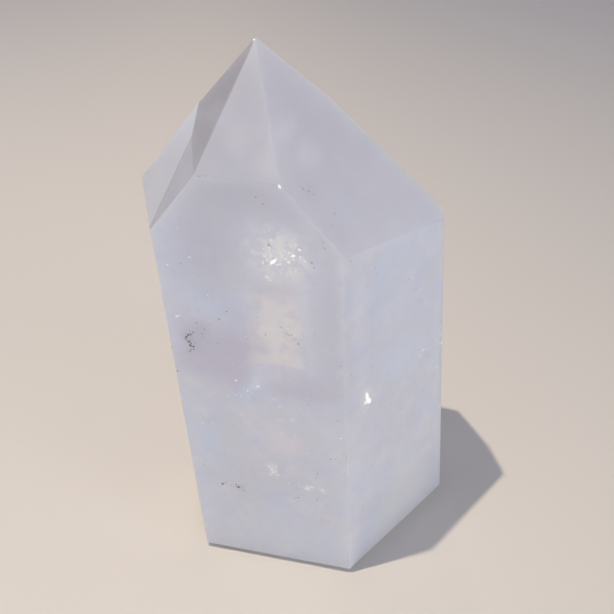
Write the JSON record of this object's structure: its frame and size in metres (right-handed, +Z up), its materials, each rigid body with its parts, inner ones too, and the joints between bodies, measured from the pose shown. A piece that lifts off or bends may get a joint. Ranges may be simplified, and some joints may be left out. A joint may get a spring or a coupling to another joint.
{
  "type": "phantom quartz crystal",
  "caption": "Free-standing polished quartz point: uneven six-sided prism, sawn level at the foot, under a sloping many-flat cap that rises to an off-centre tip.",
  "frame": {"origin": "on the foot's plane, under the middle of the crystal's bounding box", "axes": "+Z up along the prism, -Y out of the broad front side, +X to its right"},
  "size_m": [0.0462, 0.036, 0.09],
  "materials": {
    "quartz": "polished, milky and see-through"
  },
  "bodies": {
    "root": {"crystal": "quartz"}
  },
  "joints": []
}
